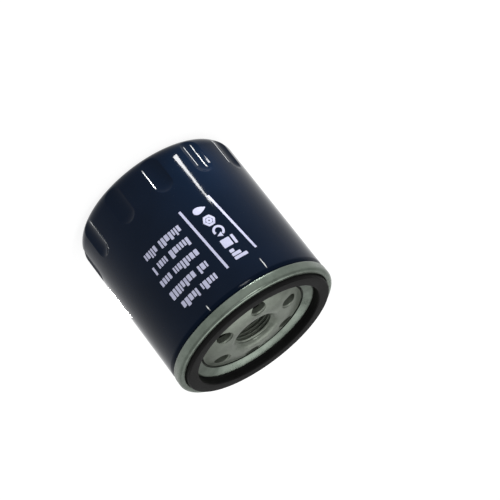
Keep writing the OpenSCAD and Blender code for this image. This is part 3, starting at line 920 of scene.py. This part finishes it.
def pleatPath(side):        # one face of the paper, as points round the axis
    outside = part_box("filter_media")[1].x / mm
    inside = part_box("centre_tube")[1].x / mm + 0.3
    half, shift = paper["sheet"] / 2, side * paper["sheet"] / 2
    fold = paper["fold"]
    outer, inner = outside - half - fold, inside + half + fold
    points = []
    for i in range(paper["pleats"]):
        for centre, start, radius in ((outer, -90, fold + shift), (inner, 270, fold - shift)):
            turn = 2 * math.pi * (i + (0.5 if centre == inner else 0)) / paper["pleats"]
            way = 1 if centre == outer else -1
            for k in range(paper["foldSteps"] + 1):
                a = math.radians(start + way * 180 * k / paper["foldSteps"])
                point = Vector((centre + radius * math.cos(a), radius * math.sin(a)))
                points.append(Matrix.Rotation(turn, 2) @ point)
    return points


def makePaper():
    low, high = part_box("filter_media")[0].z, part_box("filter_media")[1].z
    faceOut, faceIn = pleatPath(1), pleatPath(-1)
    n, rows = len(faceOut), paper["rows"]
    points, faces = [], []
    for k in range(rows + 1):
        for x, y in faceOut + faceIn:
            points.append((x * mm, y * mm, low + (high - low) * k / rows))
    for k in range(rows):
        a, b = 2 * n * k, 2 * n * (k + 1)
        for i in range(n):
            j = (i + 1) % n
            faces += [[a + i, a + j, b + j, b + i], [a + n + j, a + n + i, b + n + i, b + n + j]]
    top = 2 * n * rows
    for i in range(n):
        j = (i + 1) % n
        faces += [[i, n + i, n + j, j], [top + i, top + j, top + n + j, top + n + i]]
    addPiece("pleated_filter_paper", points, faces, filterPaper, "element",
             ["filter_media"], 60)


makePaper()
print("paper pleated")


# The bypass spring: round wire with closed ends
bypassSpring = {"wire": 1.0, "coils": 5, "endTurns": 0.75, "sides": 14, "perTurn": 44, "keep": 0.71}


def springHeight(turn, turns, low, high):
    ends = bypassSpring["endTurns"]
    close = bypassSpring["wire"] * 1.03
    if turn < ends:
        return low + turn * close
    if turn > turns - ends:
        return high - (turns - turn) * close
    return low + ends * close + (turn - ends) * (high - low - 2 * ends * close) / (turns - 2 * ends)


def makeBypassSpring():
    lowest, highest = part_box("bypass_spring")
    half = bypassSpring["wire"] / 2
    coil = highest.x / mm - half
    low, high = lowest.z / mm + half, highest.z / mm - half
    turns = bypassSpring["coils"] + 2 * bypassSpring["endTurns"]
    count, sides = round(turns * bypassSpring["perTurn"]), bypassSpring["sides"]
    points, faces = [], []
    for i in range(count + 1):
        turn = i / bypassSpring["perTurn"]
        a = 2 * math.pi * turn
        middle = springHeight(turn, turns, low, high)
        wire = half * (0.8 if i in (0, count) else 1)       # the cut ends are broken at the edge
        for k in range(sides):
            s = 2 * math.pi * k / sides
            across, z = coil + wire * math.cos(s), middle + wire * math.sin(s)
            points.append((across * math.cos(a) * mm, across * math.sin(a) * mm, z * mm))
    for i in range(count):
        for k in range(sides):
            p, q = i * sides + k, i * sides + (k + 1) % sides
            faces.append([p, p + sides, q + sides, q])
    faces += [list(range(sides)), [count * sides + k for k in range(sides)][::-1]]
    piece = addPiece("bypass_coil_spring", points, faces, springWire, "element",
                     ["bypass_spring"], 60)
    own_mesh(piece)


makeBypassSpring()
print("bypass spring wound")


# The support spring: a pressed ring with four arms, all from one leaf
supportSpring = {
    "leaf": 0.6, "ringIn": 14, "ringOut": 20.5, "armStart": 21, "footIn": 26.5, "footOut": 29.5,
    "arms": 4, "armTurn": 45, "armAngle": 24, "armColumns": 8, "edge": 0.14, "keep": 0.885,
}


def makeSupportSpring():
    p = supportSpring
    lowest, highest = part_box("support_spring")
    top, foot = highest.z / mm, lowest.z / mm + p["leaf"]
    flat = [(r, top) for r in (p["ringIn"], 16, 18, p["ringOut"])]
    arm = [(p["armStart"] + (p["footIn"] - p["armStart"]) * i / 12,
            foot + (top - foot) * (1 + math.cos(math.pi * i / 12)) / 2) for i in range(13)]
    path = flat + arm + [(28, foot), (p["footOut"], foot)]
    step = p["armAngle"] / p["armColumns"]
    columns = round(360 / step)
    first = round((p["armTurn"] - p["armAngle"] / 2) / step)
    work = bmesh.new()
    grid = {}

    def corner(i, k):
        k %= columns
        if (i, k) not in grid:
            a = math.radians(k * step)
            r, z = path[i]
            grid[i, k] = work.verts.new((r * math.cos(a) * mm, r * math.sin(a) * mm, z * mm))
        return grid[i, k]

    for i in range(len(path) - 1):
        for k in range(columns):
            onArm = (k - first) % (columns // p["arms"]) < p["armColumns"]
            if i < len(flat) - 1 or onArm:
                work.faces.new([corner(i, k), corner(i + 1, k), corner(i + 1, k + 1), corner(i, k + 1)])
    bmesh.ops.recalc_face_normals(work, faces=work.faces)
    if work.faces[0].normal.z < 0:
        bmesh.ops.reverse_faces(work, faces=work.faces)
    bmesh.ops.solidify(work, geom=work.faces[:], thickness=p["leaf"] * mm)
    sharp = [e for e in work.edges if e.is_manifold and e.calc_face_angle() > math.radians(50)]
    bmesh.ops.bevel(work, geom=sharp, offset=p["edge"] * mm, segments=2, affect="EDGES")
    mesh = bpy.data.meshes.new("leaf_support_spring")
    work.to_mesh(mesh)
    work.free()
    piece = bpy.data.objects.new("leaf_support_spring", mesh)
    scene.collection.objects.link(piece)
    dress(piece, springWire, 40)
    place(piece, "housing", ["support_spring"])
    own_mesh(piece)


makeSupportSpring()
print("support spring pressed")


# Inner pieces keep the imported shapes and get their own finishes
innerFinishes = {
    "seam_sealant": seamCompound, "drain_valve_hub": valveRubber, "drain_valve_flap": valveRubber,
    "base_end_cap": tinSteel, "dome_end_cap": tinSteel, "base_potting": potting, "dome_potting": potting,
    "media_clip": tinSteel, "centre_tube": tinSteel,
    "bypass_seat": darkSteel, "bypass_cage": darkSteel, "bypass_poppet": darkSteel,
    "bypass_seal": valveRubber,
}
for node, material in innerFinishes.items():
    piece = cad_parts[node]
    piece.data.materials.clear()
    piece.data.materials.append(material)
print("inner pieces finished")
